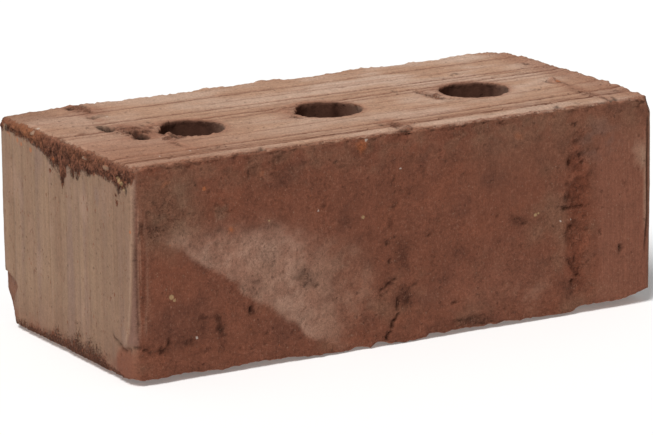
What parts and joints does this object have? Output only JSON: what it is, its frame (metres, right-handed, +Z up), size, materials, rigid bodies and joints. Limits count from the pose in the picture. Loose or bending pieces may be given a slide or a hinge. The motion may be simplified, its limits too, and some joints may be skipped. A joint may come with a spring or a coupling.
{
  "type": "clay brick",
  "caption": "Fired clay wall brick of one-and-a-half height with round cores through its beds, for laying in mortar in masonry walls.",
  "frame": {"origin": "middle of the lower bed, at the centre of the brick's outline from above", "axes": "+X along the length, from the left header to the right one; +Y across the width, from the front stretcher to the rear one; +Z up through the beds, along the cores"},
  "size_m": [0.25, 0.12, 0.088],
  "materials": {
    "fired_clay": "rough unglazed fired clay, buff on the header, darker red-brown on the stretcher"
  },
  "bodies": {
    "root": {"brick": "fired_clay"}
  },
  "joints": []
}
